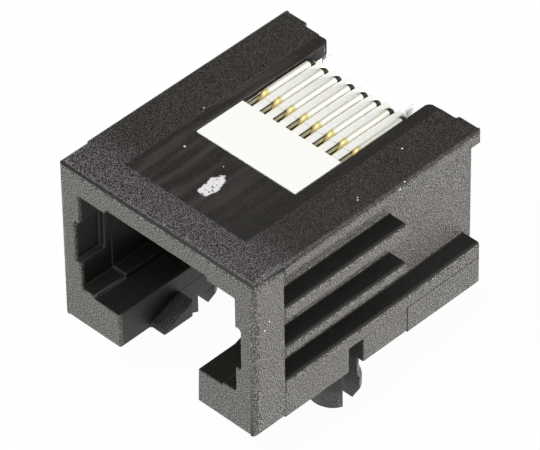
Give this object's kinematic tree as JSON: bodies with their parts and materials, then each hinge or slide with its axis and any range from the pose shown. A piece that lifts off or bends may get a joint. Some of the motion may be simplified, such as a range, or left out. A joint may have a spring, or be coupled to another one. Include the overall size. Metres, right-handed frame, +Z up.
{
  "type": "modular telecom jack",
  "caption": "Right-angle board jack for a modular phone or data plug, with round wire contacts, solder tails and split board pegs.",
  "frame": {"origin": "on the circuit board's surface, midway between the two locating pegs", "axes": "+Z up from the board, -Y out of the plug opening, +X to the right seen from the front"},
  "size_m": [0.0152, 0.0186, 0.0145],
  "materials": {
    "black_plastic": "spark-textured",
    "white_plastic": "satin",
    "gold_plate": "bright gold plate"
  },
  "bodies": {
    "root": {"housing": "black_plastic", "contact_carrier": "white_plastic", "contact_1": "gold_plate", "contact_2": "gold_plate", "contact_3": "gold_plate", "contact_4": "gold_plate", "contact_5": "gold_plate", "contact_6": "gold_plate", "contact_7": "gold_plate", "contact_8": "gold_plate"}
  },
  "joints": []
}
